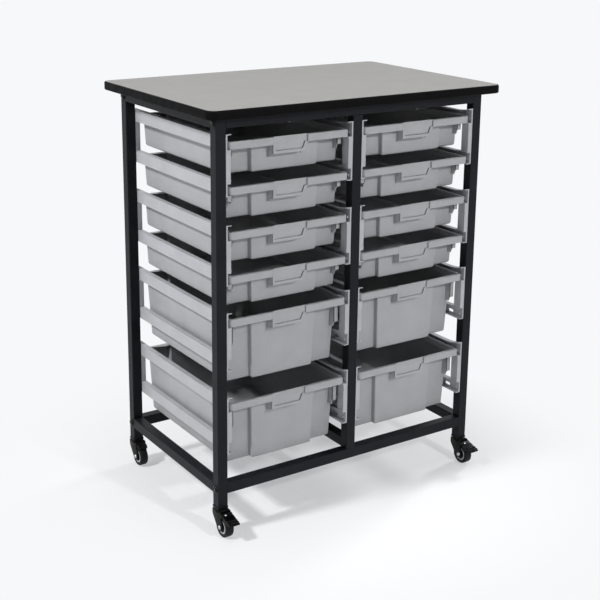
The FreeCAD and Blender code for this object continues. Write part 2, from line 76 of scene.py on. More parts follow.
# Edges: radii of crisp, eased and soft corners, and the angle in degrees past which an edge is shaded sharp
crisp_edge = 0.3 * mm
eased_edge = 0.6 * mm
soft_edge = 1.0 * mm
sharp_angle = 40.0

# Bins: the tub, with its draft as a slope and loops up its wall at shares of its height
bin_rows = 6
deep_rows = (5, 6)
bin_wall = 2.2 * mm
bin_draft = 0.045
bin_foot = 5.0 * mm
bin_corner = 8.0 * mm
body_gap = 6.0 * mm
wall_loops = (0.75, 0.5, 0.25)
front_ledge = 22.5 * mm
front_round = 3.0 * mm
panel_half = 89.0 * mm
panel_step = 13.0 * mm
panel_corner = 3.0 * mm
panel_fold = 2.0 * mm
rear_ledge = 4.0 * mm
rear_half = 91.5 * mm
rear_step = 15.0 * mm

# Bins: the lip that the tub's front flares out to, which takes up a share of the panel's step, and the rim
lip_ledge = 5.0 * mm
lip_depth = 15.0 * mm
lip_straightening = 0.93
rim_height = 17.0 * mm
rim_corner = 8.0 * mm
rim_round = 1.3 * mm
rim_bite = 0.4 * mm
rim_bead = 0.3 * mm
rim_thickness = 1.2 * bin_wall
recess_lead = 0.6 * mm
recess_corner = 0.2 * mm
angle_digits = 5

# Bins: the handle plate and its proud border
handle_left = 45.0 * mm
handle_right = 42.0 * mm
handle_recess = 2.5 * mm
handle_proud = 0.15 * mm
handle_drop = 37.5 * mm
handle_rise = 1.0 * mm
handle_slit = 2.5 * mm
handle_slant = 8.0 * mm
handle_shoulder = 1.5 * mm
handle_tuck = 1.0 * mm
border_height = 6.8 * mm
border_side = 5.5 * mm
border_width = 4.0 * mm
border_reach = 4.5 * mm
border_groove = 0.8 * mm
border_proud = 1.6 * mm
border_bend = 6.0 * mm
border_round = 0.8 * mm
slot_width = 2.2 * mm
slot_shift = 1.5 * mm
slot_round = 1.5 * mm

# Bins: cheeks behind the handle plate, ribs and gussets beside the front panel
cheek_drop = 8.5 * mm
cheek_setback = 0.5 * mm
rib_inset = 12.0 * mm
rib_foot = 5.0 * mm
rib_step = 11.0 * mm
rib_edge = 0.4 * mm
gusset_setback = 20.5 * mm
gusset_inset = 1.5 * mm
gusset_drops = {"shallow": 18.5 * mm, "deep": 46.5 * mm}

# Worktop edging
worktop_corner = 18.0 * mm
edging_round = 3.5 * mm

# Wheels; the tyre's bead is given as steps in from its side and out from the hub
wheel_radius = 25.0 * mm
wheel_half = 10.0 * mm
tread_round = 3.2 * mm
tyre_bead = ((1.0 * mm, 0.0), (0.3 * mm, 0.4 * mm), (0.0, 1.2 * mm))
hub_radius = 17.0 * mm
ring_inner = 13.0 * mm
ring_half = 9.0 * mm
ring_root = 5.0 * mm
ring_chamfer = 0.4 * mm
ring_slope = 0.8 * mm
boss_radius = 7.0 * mm
boss_gap = 0.3 * mm
web_half = 6.0 * mm
web_fillet = 0.4 * mm

# Forks and axles, measured from the stem's axis and the floor; guard angles in degrees about the axle
corners = ("front_left", "front_right", "rear_left", "rear_right")
caster_trail = 20.0 * mm
axle_centre = (0, -caster_trail, wheel_radius)
axle_radius = 3.0 * mm
axle_gap = 0.05 * mm
axle_bite = 0.5 * mm
axle_head_radius = 5.0 * mm
axle_head_height = 3.5 * mm
cheek_in = 11.5 * mm
cheek_out = 14.0 * mm
cheek_edge = 0.9 * mm
crown_radius = 15.5 * mm
crown_bore = 0.36 * crown_radius
crown_low = 56.8 * mm
crown_high = 62.5 * mm
crown_chamfer = 0.8 * mm
crown_blunt = 0.5 * mm
crown_fall = 1.6 * mm
crown_flat = 1.8 * mm
fork_foot = 9.0 * mm
fork_edge = 2.0 * mm
fork_bend = 8.0 * mm
fork_toe = 7.2 * mm
fork_shin = 4.0 * mm
guard_gap = 1.2 * mm
guard_foot = 40.0 * mm
guard_brow = 36.0 * mm
guard_bite = 0.4 * mm
guard_end = 78.0
brow_end = 125.0

# Brake pedals, measured in the same way, with ridges at shares of the way to the tip, and their rivets
pivot_y = -26.5 * mm
pivot_z = 54.5 * mm
pedal_reach = 64.0 * mm
pedal_rise = 5.0 * mm
pedal_fall = 7.0 * mm
pedal_slope = (pedal_rise + pedal_fall) / (pivot_y + pedal_rise + pedal_reach)
pedal_thickness = 4.0 * mm
pedal_gap = 0.3 * mm
pedal_bend = 2.0 * mm
pedal_edge = 0.5 * mm
pedal_ear = 4.0 * mm
ear_round = 0.9 * pedal_ear
ear_room = 1.5 * pedal_ear
knee_reach = 6.5 * mm
knee_drop = 5.75 * mm
throat_back = 2.5 * mm
throat_drop = 3.25 * mm
blade_tip = 1.2 * mm
blade_heel = 0.4 * mm
blade_root = 0.2 * mm
ridge_places = (0.72, 0.88)
ridge_radius = 2.2 * mm
ridge_end_radius = 1.2 * mm
pin_radius = 2.0 * mm
pin_reach = 0.8 * mm
pin_chamfer = 0.5 * mm
rivet_radius = 2.6 * mm
rivet_height = 1.6 * mm
rivet_ahead = 4.0 * mm
rivet_aside = 4.0 * mm

# Domed heads, as shares of their height, their radius and a right angle
dome_foot = 0.12
dome_taper = 0.98
dome_sweep = 0.97

# Frame bolts; foot, taper, mouth and floor are shares, and the sweep is an angle in radians
bolt_radius = 8.5 * mm
bolt_height = 4.5 * mm
bolt_foot = 0.15
bolt_taper = 0.98
bolt_sweep = 1.15
key_width = 5.0 * mm
key_depth = 1.8 * mm
key_mouth = 1.06
key_chamfer = 0.3 * mm
# The plate on the key recess's floor is bright zinc: a painted highlight for the glint on each bolt head
key_floor = 0.97
key_floor_rise = 0.1 * mm
key_floor_thickness = 0.6 * mm
key_floor_edge = 0.15 * mm

# Stage; the pale tone is a display colour, and the floor fades to it over the given distances
pale_tone = (247, 248, 250)
floor_half = 60.0
floor_colour = (0.92, 0.92, 0.93, 1)
floor_fade_start = 0.35
floor_fade_end = 0.85
floor_fade_least = 0.4
sky_colour = (0.96, 0.98, 1.0, 1)
sky_strength = 0.16


# Surfaces

def quarter_turn(steps):
    """Angles from nothing to a right angle, evenly spaced."""
    return np.linspace(0, np.pi / 2, steps)


def full_turn(steps):
    """Angles over a full turn, evenly spaced, the last one a step short of the first."""
    return np.linspace(0, 2 * np.pi, steps, endpoint=False)


def directions(angles):
    """Flat vectors of length 1 at given angles: the cosine and the sine of each."""
    return np.stack([np.cos(angles), np.sin(angles)], -1)


def unit(vectors):
    """Flat vectors divided by their lengths."""
    return vectors / np.maximum(np.linalg.norm(vectors, axis=1, keepdims=True), tiny)


def corner_arcs(points, radii, steps=5):
    """Closed flat outline of a polygon with rounded corners.

    Each corner gives way to an arc tangent to its two sides: the arc's centre lies on the
    bisector at radius / sin(half angle), and its points are spaced evenly over the turn.
    """
    p = np.asarray(points, float)
    r = np.broadcast_to(np.asarray(radii, float), len(p))
    back = unit(np.roll(p, 1, 0) - p)
    ahead = unit(np.roll(p, -1, 0) - p)
    half = np.arccos(np.clip((back * ahead).sum(1), -1, 1)) / 2
    centre = p + unit(back + ahead) * (r / np.sin(half))[:, None]
    start = p + back * (r / np.tan(half))[:, None] - centre
    end = p + ahead * (r / np.tan(half))[:, None] - centre
    cross = start[:, 0] * end[:, 1] - start[:, 1] * end[:, 0]
    turn = np.arctan2(cross, (start * end).sum(1))
    angle = np.arctan2(start[:, 1], start[:, 0])[:, None] + turn[:, None] * np.linspace(0, 1, steps)
    return (centre[:, None] + directions(angle) * r[:, None, None]).reshape(-1, 2)


def inward(loop, distance):
    """Flat loop moved inwards: each point goes along the normal of the chord between its neighbours."""
    chord = np.roll(loop, -1, 0) - np.roll(loop, 1, 0)
    normal = unit(np.stack([-chord[:, 1], chord[:, 0]], 1))
    area = (loop[:, 0] * np.roll(loop[:, 1], -1) - loop[:, 1] * np.roll(loop[:, 0], -1)).sum()
    return loop + normal * distance * np.sign(area)


def stood(loop, level, axis):
    """Flat loop set in space at a level along one axis; its own two axes are the others, in order."""
    column = np.full((len(loop), 1), level)
    order = {"x": (column, loop), "y": (loop[:, :1], column, loop[:, 1:]), "z": (loop, column)}
    return np.concatenate(order[axis], 1)


def shell(rows, ring=False):
    """Closed skin over a grid of loops: quads between neighbouring loops, each loop closed on itself.

    A ring joins the last loop to the first; otherwise the first and last loops get flat caps.
    The skin is turned so that the volume under it, summed over its quads, comes out positive.
    """
    grid = np.asarray(rows, float)
    levels, around = grid.shape[:2]
    index = np.arange(levels * around).reshape(levels, around)
    upper = np.roll(index, -1, 0) if ring else index[1:]
    lower = index if ring else index[:-1]
    quads = np.stack([lower, np.roll(lower, -1, 1), np.roll(upper, -1, 1), upper], -1).reshape(-1, 4)
    points = grid.reshape(-1, 3)
    middle = points - points.mean(0)
    a, b, c, d = (middle[quads[:, n]] for n in range(4))
    volume = (np.cross(a, b) * c).sum() + (np.cross(a, c) * d).sum()
    faces = quads.tolist()
    if not ring:
        faces += [index[0, ::-1].tolist(), index[-1].tolist()]
    if volume < 0:
        faces = [face[::-1] for face in faces]
    return points, faces


def slab(outline, low, high, ease, axis, steps=4):
    """Plate of a flat outline between two levels; its edges are quarter circles of radius ease."""
    edge = [(ease * (1 - np.sin(a)), ease * (1 - np.cos(a))) for a in quarter_turn(steps)]
    rows = [stood(inward(outline, inset), low + rise, axis) for inset, rise in edge]
    rows += [stood(inward(outline, inset), high - rise, axis) for inset, rise in reversed(edge)]
    return shell(rows)


def turned(profile, axis, centre, steps, ring=False):
    """Skin of revolution: each (distance along, radius) of the profile becomes a circle about the axis."""
    circle = directions(full_turn(steps))
    points, faces = shell([stood(radius * circle, along, axis) for along, radius in profile], ring)
    return points + np.asarray(centre), faces


def mirrored(half):
    """Whole profile out of one half: the half, then its points in reverse on the other side of zero."""
    return half + [(-along, radius) for along, radius in reversed(half)]


def dome(radius, height, steps=6):
    """Profile of a low domed head: a quarter ellipse from its foot to a point near its axis."""
    profile = [(0.0, radius * dome_taper), (dome_foot * height, radius)]
    for lean in quarter_turn(steps)[1:] * dome_sweep:
        profile.append(((dome_foot + (1 - dome_foot) * np.sin(lean)) * height, radius * np.cos(lean)))
    return profile


def moved(shells, offset):
    """Skins with an offset added to every point."""
    return [(points + np.asarray(offset), faces) for points, faces in shells]


# Finishes

def tone(red, green, blue):
    """Linear colour of a display colour given in 0 to 255, by the display curve's two branches."""
    share = np.array([red, green, blue]) / 255.0
    linear = np.where(share <= 0.04045, share / 12.92, ((share + 0.055) / 1.055) ** 2.4)
    return (*linear, 1.0)


def set_range(span, start, end, low, high):
    """Map Range node set to bring start and end to low and high."""
    for socket, number in zip(("From Min", "From Max", "To Min", "To Max"), (start, end, low, high)):
        span.inputs[socket].default_value = number


class Finish:
    """Node material with its shader and the piece's own coordinates at hand."""

    def __init__(self, name, roughness, metallic=0.0, specular=0.5):
        self.material = bpy.data.materials.new(name)
        self.material.use_nodes = True
        self.nodes = self.material.node_tree.nodes
        self.links = self.material.node_tree.links
        self.shader = self.nodes["Principled BSDF"]
        self.shader.inputs["Roughness"].default_value = roughness
        self.shader.inputs["Metallic"].default_value = metallic
        self.shader.inputs["Specular IOR Level"].default_value = specular
        self.place = self.nodes.new("ShaderNodeTexCoord").outputs["Object"]

    def noise(self, size, detail=2.0, stretch=(1, 1, 1)):
        """Noise with grains of about one size, drawn out along the stretched axes."""
        mapping = self.nodes.new("ShaderNodeMapping")
        mapping.inputs["Scale"].default_value = [1 / (size * share) for share in stretch]
        noise = self.nodes.new("ShaderNodeTexNoise")
        noise.inputs["Scale"].default_value = 1.0
        noise.inputs["Detail"].default_value = detail
        self.links.new(self.place, mapping.inputs["Vector"])
        self.links.new(mapping.outputs["Vector"], noise.inputs["Vector"])
        return noise.outputs["Fac"]

    def span(self, value, low=0.0, high=1.0, start=0.3, end=0.7):
        """Value between start and end brought to between low and high, held at the ends."""
        span = self.nodes.new("ShaderNodeMapRange")
        set_range(span, start, end, low, high)
        self.links.new(value, span.inputs["Value"])
        return span.outputs["Result"]

    def blend(self, value, first, second):
        """Colour between two others; each is a colour or an earlier blend."""
        mix = self.nodes.new("ShaderNodeMix")
        mix.data_type = "RGBA"
        self.links.new(value, mix.inputs["Factor"])
        inputs = [socket for socket in mix.inputs if socket.type == "RGBA"]
        for socket, colour in zip(inputs, (first, second)):
            if isinstance(colour, tuple):
                socket.default_value = colour
            else:
                self.links.new(colour, socket)
        return [socket for socket in mix.outputs if socket.type == "RGBA"][0]

    def colour(self, value):
        """Base colour taken from a blend."""
        self.links.new(value, self.shader.inputs["Base Color"])

    def rough(self, value, low, high):
        """Roughness that follows a value from low to high."""
        self.links.new(self.span(value, low, high), self.shader.inputs["Roughness"])

    def relief(self, value, depth):
        """Bump of a depth in metres."""
        bump = self.nodes.new("ShaderNodeBump")
        bump.inputs["Distance"].default_value = depth
        self.links.new(value, bump.inputs["Height"])
        self.links.new(bump.outputs["Normal"], self.shader.inputs["Normal"])


def laminate():
    """Matt grey laminate: a fine speckle over a faint cloudy tone, duller and raised at the specks."""
    f = Finish("grey laminate", roughness=0.5, specular=0.03)
    speckle = f.span(f.noise(size=0.7 * mm, detail=3))
    cloud = f.span(f.noise(size=60 * mm, detail=3))
    base = f.blend(cloud, tone(160, 159, 157), tone(163, 162, 160))
    f.colour(f.blend(f.span(speckle, high=0.22, start=0, end=1), base, tone(140, 138, 136)))
    f.rough(speckle, low=0.52, high=0.6)
    f.relief(speckle, depth=0.03 * mm)
    return f.material


def edging_plastic():
    """Black edging with fine lines and a dull bloom."""
    f = Finish("black edging", roughness=0.5, specular=0.04)
    bloom = f.span(f.noise(size=18 * mm, detail=4))
    f.colour(f.blend(bloom, tone(9, 9, 10), tone(15, 15, 16)))
    f.rough(bloom, low=0.46, high=0.58)
    f.relief(f.noise(size=0.9 * mm, stretch=(1, 1, 0.3)), depth=0.05 * mm)
    return f.material


def powder_coat():
    """Charcoal powder coat: an orange-peel skin with small lighter specks."""
    f = Finish("charcoal powder coat", roughness=0.45, specular=0.12)
    peel = f.noise(size=1.6 * mm)
    cloud = f.span(f.noise(size=70 * mm, detail=3))
    base = f.blend(cloud, tone(20, 21, 25), tone(26, 27, 31))
    specks = f.span(f.noise(size=0.8 * mm, detail=1), high=0.35, start=0.6, end=0.8)
    f.colour(f.blend(specks, base, tone(44, 45, 49)))
    f.rough(peel, low=0.38, high=0.52)
    f.relief(peel, depth=0.12 * mm)
    return f.material


def moulded(name, dark, light, scuff, dull, specular=0.5):
    """Moulded plastic: a fine spark grain, a cloudy tone, and rubbing marks drawn out front to back."""
    f = Finish(name, roughness=dull[0], specular=specular)
    cloud = f.span(f.noise(size=45 * mm, detail=3))
    marks = f.span(f.noise(size=2.5 * mm, detail=3, stretch=(1, 14, 1)), high=0.35, start=0.56, end=0.75)
    f.colour(f.blend(marks, f.blend(cloud, tone(*dark), tone(*light)), tone(*scuff)))
    f.rough(cloud, *dull)
    f.relief(f.noise(size=0.5 * mm), depth=0.06 * mm)
    return f.material


def tyre_rubber():
    """Matt black rubber with pale dust in patches."""
    f = Finish("tyre rubber", roughness=0.7, specular=0.2)
    dust = f.span(f.noise(size=5 * mm, detail=5), high=0.5, start=0.5, end=0.8)
    f.colour(f.blend(dust, tone(14, 14, 15), tone(34, 33, 33)))
    f.rough(dust, low=0.6, high=0.85)
    f.relief(f.noise(size=0.8 * mm, detail=3), depth=0.08 * mm)
    return f.material


def zinc_plate():
    """Zinc-plated steel: a brushed, slightly clouded metal."""
    f = Finish("zinc plate", roughness=0.35, metallic=1.0)
    brush = f.noise(size=0.5 * mm, stretch=(1, 1, 12))
    cloud = f.span(f.noise(size=4 * mm, detail=3))
    f.colour(f.blend(cloud, tone(168, 168, 170), tone(205, 205, 205)))
    f.rough(brush, low=0.28, high=0.5)
    f.relief(brush, depth=0.02 * mm)
    return f.material


def bolt_black():
    """Blackened steel with rubbed high spots."""
    f = Finish("blackened bolt", roughness=0.4, metallic=0.6)
    rub = f.span(f.noise(size=1.5 * mm, detail=4), high=0.6, start=0.55, end=0.8)
    f.colour(f.blend(rub, tone(12, 12, 13), tone(40, 40, 42)))
    f.rough(rub, low=0.36, high=0.5)
    f.relief(f.noise(size=0.6 * mm), depth=0.03 * mm)
    return f.material


finishes = {
    "laminate": laminate(),
    "edging": edging_plastic(),
    "frame_paint": powder_coat(),
    "runner_plastic": moulded("runner plastic", dark=(170, 171, 175), light=(180, 181, 185),
                              scuff=(194, 194, 196), dull=(0.4, 0.52)),
    "bin_plastic": moulded("bin plastic", dark=(160, 161, 163), light=(168, 169, 171),
                           scuff=(180, 181, 183), dull=(0.4, 0.5)),
    "black_plastic": moulded("black nylon", dark=(9, 9, 10), light=(14, 14, 15),
                             scuff=(26, 26, 27), dull=(0.36, 0.5), specular=0.14),
    "hub_plastic": moulded("hub plastic", dark=(178, 178, 180), light=(192, 192, 194),
                           scuff=(150, 150, 150), dull=(0.35, 0.5)),
    "tyre": tyre_rubber(),
    "zinc_steel": zinc_plate(),
    "black_bolt": bolt_black(),
}

# Solids that stay in view take the finish of their slot
slots = {part["node"]: part["material_slot"] for part in frame["record"]["subparts"]}
for node, thing in frame["nodes"].items():
    for place in thing.material_slots:
        place.material = finishes[slots[node]]


# Pieces

def piece(name, shells, body, slot, stands_for=()):
    """One object out of several closed skins, riding on a body, in its slot's finish.

    Where it stands for nodes of the frame, these are hidden.
    """
    points, faces, count = [], [], 0
    for skin, skin_faces in shells:
        points.append(skin)
        faces += [[corner + count for corner in face] for face in skin_faces]
        count += len(skin)
    mesh = bpy.data.meshes.new(name)
    mesh.from_pydata(np.concatenate(points).tolist(), [], faces)
    mesh.polygons.foreach_set("use_smooth", [True] * len(mesh.polygons))
    mesh.set_sharp_from_angle(angle=np.radians(sharp_angle))
    mesh.materials.append(finishes[slot])
    thing = bpy.data.objects.new(name, mesh)
    bpy.context.scene.collection.objects.link(thing)
    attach(thing, body)
    if stands_for:
        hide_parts(*stands_for)


# Bins

def tub_outline(inset, wall, side_half, length, flare=0.0):
    """Outline of the tub: a proud middle panel at the front, a middle panel set in at the rear.

    A flare from 0 to 1 brings the front out to the lip and straightens the panel's step.
    """
    side = side_half - inset - wall
    fold = 1 - lip_straightening * flare
    step = panel_step * fold
    front = front_ledge + (lip_ledge - front_ledge) * flare + inset + wall
    rear = length - rear_ledge - inset - wall
    panel = panel_half - inset - wall
    notch = rear_half + wall
    right = [(panel, front), (panel, front + step), (side, front + step), (side, rear)]
    right += [(notch, rear), (notch, rear - rear_step)]
    radii = [panel_corner * fold, panel_fold * fold, front_round, bin_corner, panel_corner, panel_fold]
    left = [(-x, y) for x, y in reversed(right)]
    return corner_arcs(right + left, radii + radii[::-1])


def tub(height, side_half, length):
    """Drafted tub: loops up the outside from an eased foot, over the edge and down the inside.

    Each loop has its level, its inset and its flare. The foot is a quarter circle. Under the rim the
    flare grows evenly with the level, so the front slopes straight out to the lip.
    """
    lean = quarter_turn(5)
    edge = bin_wall / 2
    levels = [(bin_foot * (1 - np.cos(a)) - height, bin_foot * (1 - np.sin(a)), 0.0) for a in lean]
    levels += [(-height * share, 0.0, 0.0) for share in wall_loops]
    levels += [(-edge - (lip_depth - edge) * np.cos(a), 0.0, 1 - np.cos(a)) for a in lean]
    rows = []
    for level, ease, flare in levels:
        outside = tub_outline(ease - bin_draft * level, 0.0, side_half, length, flare)
        rows.append(stood(outside, level, "z"))
    for level, ease, flare in reversed(levels):
        inside = tub_outline(ease - bin_draft * level, bin_wall, side_half, length, flare)
        rows.append(stood(inside, level + (bin_wall if level < -height / 2 else 0.0), "z"))
    return shell(rows)


def rim_outline(inset, rim_half, length):
    """Outline of the rim, with a shallow recess in its front for the handle plate."""
    near = inset
    deep = inset + handle_recess
    right_end = handle_right + handle_slit
    points = [(-rim_half + inset, near), (-handle_left - recess_lead, near), (-handle_left, deep)]
    points += [(right_end, deep), (right_end + recess_lead, near), (rim_half - inset, near)]
    points += [(rim_half - inset, length - inset), (-rim_half + inset, length - inset)]
    corner = rim_corner - inset
    radii = [corner] + [recess_corner] * 4 + [corner] * 3
    return corner_arcs(points, radii, steps=6)


def at_angles(loop, centre, angles, steps=40):
    """Loop read at given angles about a centre it winds round once: radius against angle, in small steps."""
    ends = np.roll(loop, -1, 0)
    share = np.linspace(0, 1, steps, endpoint=False)[None, :, None]
    dense = (loop[:, None] + (ends - loop)[:, None] * share).reshape(-1, 2) - centre
    turn = np.arctan2(dense[:, 1], dense[:, 0])
    order = np.argsort(turn)
    radius = np.interp(angles, turn[order], np.hypot(dense[:, 0], dense[:, 1])[order], period=2 * np.pi)
    return centre + radius[:, None] * directions(angles)


def rim(side_half, rim_half, length):
    """Turned-down rim: one ring of loops from the lip of the tub over the flange and round the skirt.

    Every loop is read at the same angles about the bin's middle, those of the lip's and the rim's corners.
    The skirt's upper edge is a quarter circle and its lower edge a half circle. Behind the handle plate
    the skirt is left out.
    """
    centre = np.array([0.0, length / 2])
    lip = tub_outline(0.0, bin_wall, side_half, length, 1.0)
    edge = rim_outline(0.0, rim_half, length)
    around = np.concatenate([lip, edge, rim_outline(rim_round, rim_half, length)]) - centre
    angles = np.unique(np.round(np.arctan2(around[:, 1], around[:, 0]), angle_digits))
    half = bin_wall / 2
    rows = []
    for bead, level in ((-rim_bite, -bin_wall), (rim_bead, -half), (-rim_bite, 0.0)):
        loop = tub_outline(0.0, bin_wall + bead, side_half, length, 1.0)
        rows.append(stood(at_angles(loop, centre, angles), level, "z"))
    skirt = [(rim_round * (1 - np.sin(a)), -rim_round * (1 - np.cos(a))) for a in quarter_turn(4)]
    for lean in np.linspace(0, np.pi, 6):
        skirt.append((half * (1 - np.cos(lean)), -rim_height + half * (1 - np.sin(lean))))
    skirt.append((bin_wall, -bin_wall))
    for inset, level in skirt:
        loop = at_angles(rim_outline(inset, rim_half, length), centre, angles)
        behind = (loop[:, 0] > -handle_left) & (loop[:, 0] < handle_right + handle_slit)
        behind &= loop[:, 1] < front_ledge
        row = stood(loop, level, "z")
        row[:, 2] = np.where(behind, np.maximum(level, -rim_thickness), level)
        rows.append(row)
    return shell(rows, ring=True)


def handle():
    """Handle plate in a proud border: down its left end, along the bottom and up a slanted right end.

    A groove parts the plate from the border's bottom and a wider slot from its slanted end.
    """
    front = handle_recess - handle_proud
    back = handle_recess + bin_wall
    corner = handle_right - handle_slant
    shoulder = -rim_height + handle_shoulder
    border_top = -handle_drop + border_height
    border_inner = -handle_left + border_side
    slot_top = handle_right - border_width
    slot_low = corner - border_width + slot_shift
    plate_left = border_inner - handle_tuck
    plate_low = border_top + border_groove
    plate = [(plate_left, handle_rise), (plate_left, plate_low), (slot_low - slot_width, plate_low)]
    plate += [(slot_top - slot_width, shoulder), (handle_right, shoulder), (handle_right, handle_rise)]
    plate_radii = [crisp_edge, crisp_edge, soft_edge, crisp_edge, eased_edge, soft_edge]
    border = [(-handle_left, handle_rise), (-handle_left, -handle_drop), (corner, -handle_drop)]
    border += [(handle_right + border_reach, shoulder), (slot_top, shoulder), (slot_low, border_top)]
    border += [(border_inner, border_top), (border_inner, handle_rise)]
    border_radii = [eased_edge, soft_edge, border_bend, eased_edge, eased_edge]
    border_radii += [slot_round, border_round, eased_edge]
    skins = [slab(corner_arcs(plate, plate_radii), front, back, eased_edge, "y")]
    skins.append(slab(corner_arcs(border, border_radii), front - border_proud, back, eased_edge, "y"))
    return skins


def flare_level(reach, start, end):
    """Level at which the flared front lies a reach behind the rim: it slopes evenly from start to end."""
    return -lip_depth * (reach - start) / (end - start)


def upright_rib(outline, x):
    """Plate one wall thick that stands front to back, its middle at X."""
    return slab(corner_arcs(outline, crisp_edge), x - bin_wall / 2, x + bin_wall / 2, rib_edge, "x")


def bin_shells(kind, height, rim_half, length):
    """All skins of one bin, its rim's front at Y = 0 and its rim's top at Z = 0."""
    side_half = rim_half - body_gap
    half_wall = bin_wall / 2
    skins = [tub(height, side_half, length), rim(side_half, rim_half, length)] + handle()
    foot = handle_drop + cheek_drop
    near = handle_recess + cheek_setback
    wall = front_ledge + half_wall
    for x, drop in ((half_wall - handle_left, handle_drop), (handle_right - half_wall, rim_height)):
        cheek = [(near, -half_wall), (near, -drop), (wall, -foot), (wall + bin_draft * foot, -foot)]
        cheek += [(wall, -lip_depth), (lip_ledge + half_wall, -half_wall)]
        skins.append(upright_rib(cheek, x))
    gusset_low = rim_height + gusset_drops[kind]
    gusset_top = flare_level(gusset_setback, lip_ledge, front_ledge + panel_step) - half_wall
    gusset_back = gusset_setback + bin_wall
    rib_low = gusset_low + rib_step
    wall = front_ledge + panel_step + half_wall
    rib = [(gusset_setback, gusset_top), (gusset_setback, -gusset_low)]
    rib += [(gusset_setback + rib_foot, -rib_low), (wall + bin_draft * rib_low, -rib_low)]
    rib += [(wall, -lip_depth)]
    for side in (-1, 1):
        x = side * (side_half - rib_inset)
        skins.append(upright_rib(rib, x))
        left, right = sorted((x - side * half_wall, side * (side_half - gusset_inset)))
        gusset = [(left, -gusset_low), (right, -gusset_low), (right, gusset_top), (left, gusset_top)]
        skins.append(slab(corner_arcs(gusset, crisp_edge), gusset_setback, gusset_back, rib_edge, "y"))
    return skins


for bay in ("left", "right"):
    for row in range(1, bin_rows + 1):
        node = "bin_%s_%d" % (bay, row)
        low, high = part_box(node)
        top = high.z - handle_rise
        kind = "deep" if row in deep_rows else "shallow"
        skins = bin_shells(kind, top - low.z, (high.x - low.x) / 2, high.y - low.y)
        place = ((low.x + high.x) / 2, low.y, top)
        piece("tray_%s_%d" % (bay, row), moved(skins, place), node, "bin_plastic", [node])


# Worktop edging

def edging_loop(low, high, offset, level):
    """Rounded outline of the panel, grown by an offset, at a level."""
    left, right = low.x - offset, high.x + offset
    front, rear = low.y - offset, high.y + offset
    outline = [(left, front), (right, front), (right, rear), (left, rear)]
    return stood(corner_arcs(outline, worktop_corner + offset, steps=14), level, "z")


def edging():
    """Bullnose ring: up the panel's side, out over a quarter circle, down the face and in under another."""
    low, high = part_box("worktop_panel")
    band_low, band_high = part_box("worktop_edging")
    band = (band_high.x - band_low.x - high.x + low.x) / 2
    nose = [(edging_round * (1 - np.cos(a)), edging_round * (1 - np.sin(a))) for a in quarter_turn(6)]
    rows = [edging_loop(low, high, 0.0, low.z), edging_loop(low, high, 0.0, high.z)]
    rows += [edging_loop(low, high, band - inset, high.z - drop) for inset, drop in reversed(nose)]
    rows += [edging_loop(low, high, band - inset, low.z + drop) for inset, drop in nose]
    return shell(rows, ring=True)


piece("bullnose_edging", [edging()], "frame", "edging", ["worktop_edging"])


# Casters

def wheel_guard(braked):
    """Filling between the cheeks over the wheel: an arc about the axle below, the crown's underside above.

    On a fork without a pedal it runs on forwards into a brow.
    """
    reach = wheel_radius + guard_gap
    rise = np.arcsin((guard_foot - wheel_radius) / reach)
    angle = np.linspace(rise, np.radians(guard_end if braked else brow_end), 16)
    arc = reach * directions(angle) + np.array([-caster_trail, wheel_radius])
    top = crown_low + fork_edge
    rear = crown_radius - 2 * fork_edge
    front = [(arc[-1, 0], top)]
    if not braked:
        front = [(-guard_brow, arc[-1, 1] + fork_edge), (-guard_brow + fork_edge, crown_low - fork_edge)]
        front += [(pivot_y + pedal_rise, top)]
    outline = np.concatenate([arc, front, [(rear, top), (rear, guard_foot)]])
    return slab(outline, -cheek_in - guard_bite, cheek_in + guard_bite, crisp_edge, "x")


def fork_skins(braked):
    """Fork: a turned crown, two rounded cheeks, a bridge between them and, on a braked one, pivot ears."""
    axle_y, axle_z = -caster_trail, wheel_radius
    front = axle_y - fork_edge
    rear = crown_radius - fork_edge
    top = crown_high - fork_edge / 2
    crown = [(crown_low, crown_bore), (crown_low, crown_radius - crown_chamfer)]
    crown += [(crown_low + crown_chamfer, crown_radius), (crown_high - crown_fall, crown_radius)]
    crown += [(crown_high - crown_blunt, crown_radius - crown_blunt)]
    crown += [(crown_high, crown_radius - crown_flat), (crown_high, crown_bore)]
    skins = [turned(crown, "z", (0, 0, 0), steps=40, ring=True)]
    cheek = [(rear, top), (rear, crown_low - fork_foot), (axle_y + fork_foot, axle_z - fork_foot)]
    cheek += [(axle_y - fork_foot, axle_z - fork_foot), (axle_y - fork_foot, axle_z + fork_foot)]
    cheek += [(front, crown_low - fork_foot / 2), (front, top)]
    cheek_radii = [fork_edge, fork_bend, fork_toe, fork_bend, fork_shin, fork_edge, fork_edge]
    ear = [(pivot_y - pedal_ear, pivot_z - pedal_ear), (front + pedal_ear, pivot_z - pedal_ear)]
    ear += [(front + pedal_ear, pivot_z + pedal_ear), (pivot_y - pedal_ear, pivot_z + pedal_ear)]
    for side in (-1, 1):
        inner, outer = sorted((side * cheek_in, side * cheek_out))
        skins.append(slab(corner_arcs(cheek, cheek_radii, steps=8), inner, outer, cheek_edge, "x"))
        if braked:
            skins.append(slab(corner_arcs(ear, ear_round), inner, outer, eased_edge, "x"))
    bridge_front = pivot_y + pedal_rise + pedal_ear
    bridge = [(-cheek_out, bridge_front), (cheek_out, bridge_front)]
    bridge += [(cheek_out, rear - fork_edge), (-cheek_out, rear - fork_edge)]
    skins.append(slab(corner_arcs(bridge, fork_edge), crown_low, top, eased_edge, "z"))
    skins.append(wheel_guard(braked))
    return skins


def axle_skins():
    """Axle: a domed head against the outside of each cheek and a bar between them."""
    skins = []
    for side in (-1, 1):
        head = dome(axle_head_radius, axle_head_height)
        head = [(side * (cheek_out + along), radius) for along, radius in head]
        skins.append(turned(head, "x", axle_centre, steps=32))
    bar = mirrored([(-cheek_out - axle_bite, axle_radius)])
    skins.append(turned(bar, "x", axle_centre, steps=32))
    return skins


